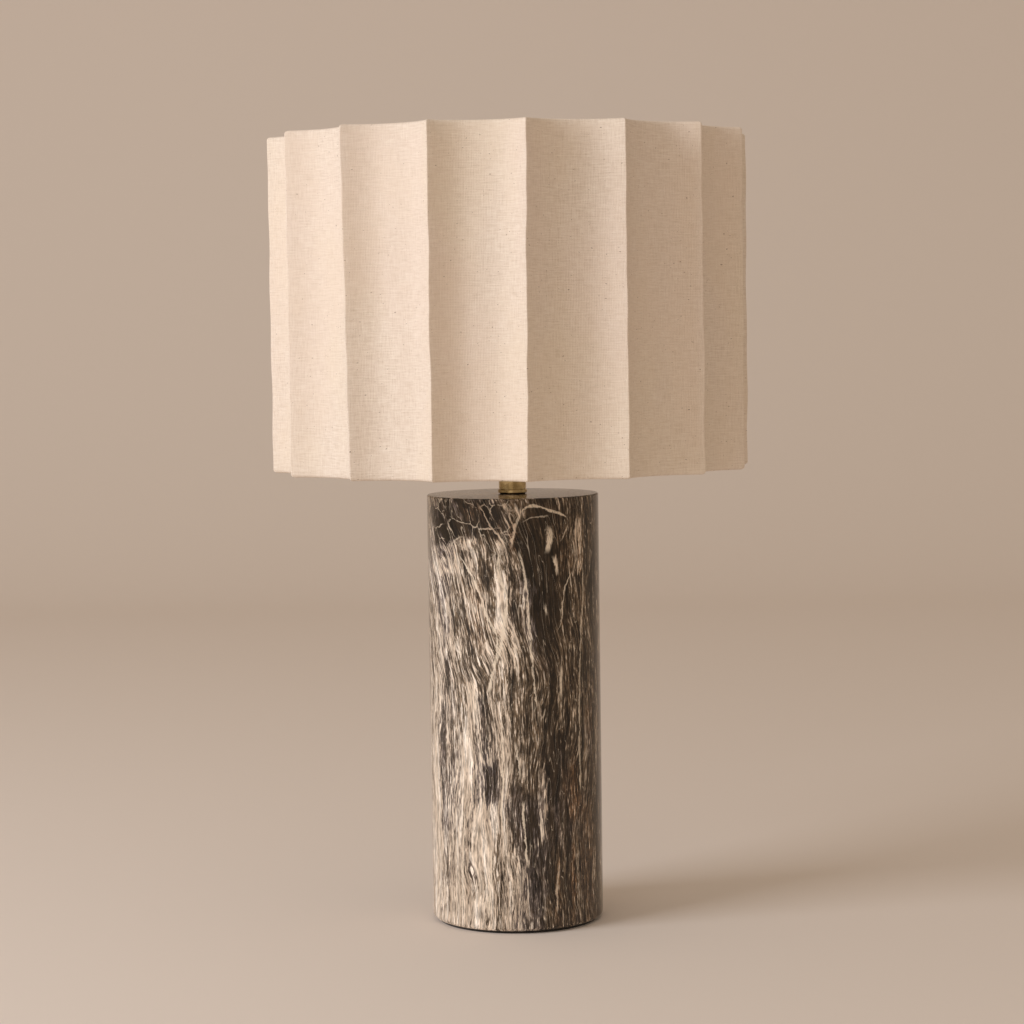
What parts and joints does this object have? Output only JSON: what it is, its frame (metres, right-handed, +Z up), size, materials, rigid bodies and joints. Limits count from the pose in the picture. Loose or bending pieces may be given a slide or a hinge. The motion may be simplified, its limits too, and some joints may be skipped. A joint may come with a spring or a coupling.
{
  "type": "table lamp",
  "caption": "Table lamp with a straight polished marble column, a short brass neck, a harp-fitted socket and a linen drum shade folded into concave panels.",
  "frame": {"origin": "on the table, at the bottom centre of the lamp, on its upright axis", "axes": "+Z up along the lamp, -Y towards the front, +X to the right seen from the front; the harp legs stand along X and the switch knob points along -Y"},
  "size_m": [0.35, 0.35, 0.5804],
  "materials": {
    "marble": "polished",
    "steel": "satin",
    "felt": "matte",
    "black_plastic": "satin",
    "rubber": "matte",
    "antique_brass": "satin",
    "fibre_sleeve": "matte",
    "phenolic": "satin",
    "contact_brass": "satin",
    "bulb_metal": "satin",
    "bulb_black": "gloss",
    "white_plastic": "satin",
    "frosted_white": "satin",
    "white_wire": "satin",
    "liner_film": "matte",
    "linen": "matte"
  },
  "bodies": {
    "lamp_base": {"marble_column": "marble", "base_plate": "steel", "felt_pad": "felt", "cord_bush": "black_plastic", "pipe_nipple": "steel", "clamp_washer": "steel", "lock_washer": "steel", "nipple_nut": "steel", "neck_gasket": "rubber", "check_ring": "antique_brass", "neck": "antique_brass", "harp_saddle": "antique_brass", "socket_cap": "antique_brass", "cap_set_screw": "antique_brass", "cap_bushing": "black_plastic", "socket_shell": "antique_brass", "socket_liner": "fibre_sleeve", "switch_base": "phenolic", "switch_cover": "phenolic", "switch_rivets": "contact_brass", "terminal_screws": "contact_brass", "screw_shell": "contact_brass", "centre_contact": "contact_brass"},
    "switch": {"switch_rotor": "phenolic", "switch_shaft": "contact_brass", "switch_knob": "black_plastic"},
    "bulb": {"bulb_tip": "contact_brass", "bulb_insulator": "bulb_black", "bulb_base": "bulb_metal", "bulb_collar": "white_plastic", "bulb_led_board": "white_plastic", "bulb_envelope": "frosted_white"},
    "harp_frame": {"harp": "antique_brass"},
    "left_sleeve": {"harp_sleeve_left": "antique_brass"},
    "right_sleeve": {"harp_sleeve_right": "antique_brass"},
    "stud": {"harp_stud": "antique_brass"},
    "shade": {"shade_spider": "white_wire", "shade_bottom_ring": "white_wire", "shade_liner": "liner_film", "shade_cover": "linen"},
    "washer": {"finial_washer": "antique_brass"},
    "finial_knob": {"finial": "antique_brass"}
  },
  "joints": [
    {"name": "knob_turn", "type": "hinge", "parent": "lamp_base", "child": "switch", "pos_m": [0, -0.02, 0.3645], "axis": [0, -1, 0], "continuous": true},
    {"name": "bulb_out", "type": "slide", "parent": "lamp_base", "child": "bulb", "axis": [0, 0, 1], "range_m": [0, 0.027]},
    {"name": "harp_lift", "type": "slide", "parent": "lamp_base", "child": "harp_frame", "axis": [0, 0, 1], "range_m": [0, 0.02]},
    {"name": "left_sleeve_slide", "type": "slide", "parent": "harp_frame", "child": "left_sleeve", "axis": [0, 0, 1], "range_m": [0, 0.012]},
    {"name": "right_sleeve_slide", "type": "slide", "parent": "harp_frame", "child": "right_sleeve", "axis": [0, 0, 1], "range_m": [0, 0.012]},
    {"name": "shade_swivel", "type": "hinge", "parent": "harp_frame", "child": "stud", "pos_m": [0, 0, 0.5523], "axis": [0, 0, 1], "continuous": true},
    {"name": "shade_lift", "type": "slide", "parent": "stud", "child": "shade", "axis": [0, 0, 1], "range_m": [0, 0.25]},
    {"name": "finial_rise", "type": "slide", "parent": "shade", "child": "washer", "axis": [0, 0, 1], "range_m": [0, 0.00866]},
    {"name": "finial_turn", "type": "hinge", "parent": "washer", "child": "finial_knob", "pos_m": [0, 0, 0.5566], "axis": [0, 0, 1], "range_deg": [0, 3312]}
  ],
  "couplings": [
    {"joint": "finial_rise", "follows": "finial_turn", "m_per_rad": 0.00014972}
  ]
}
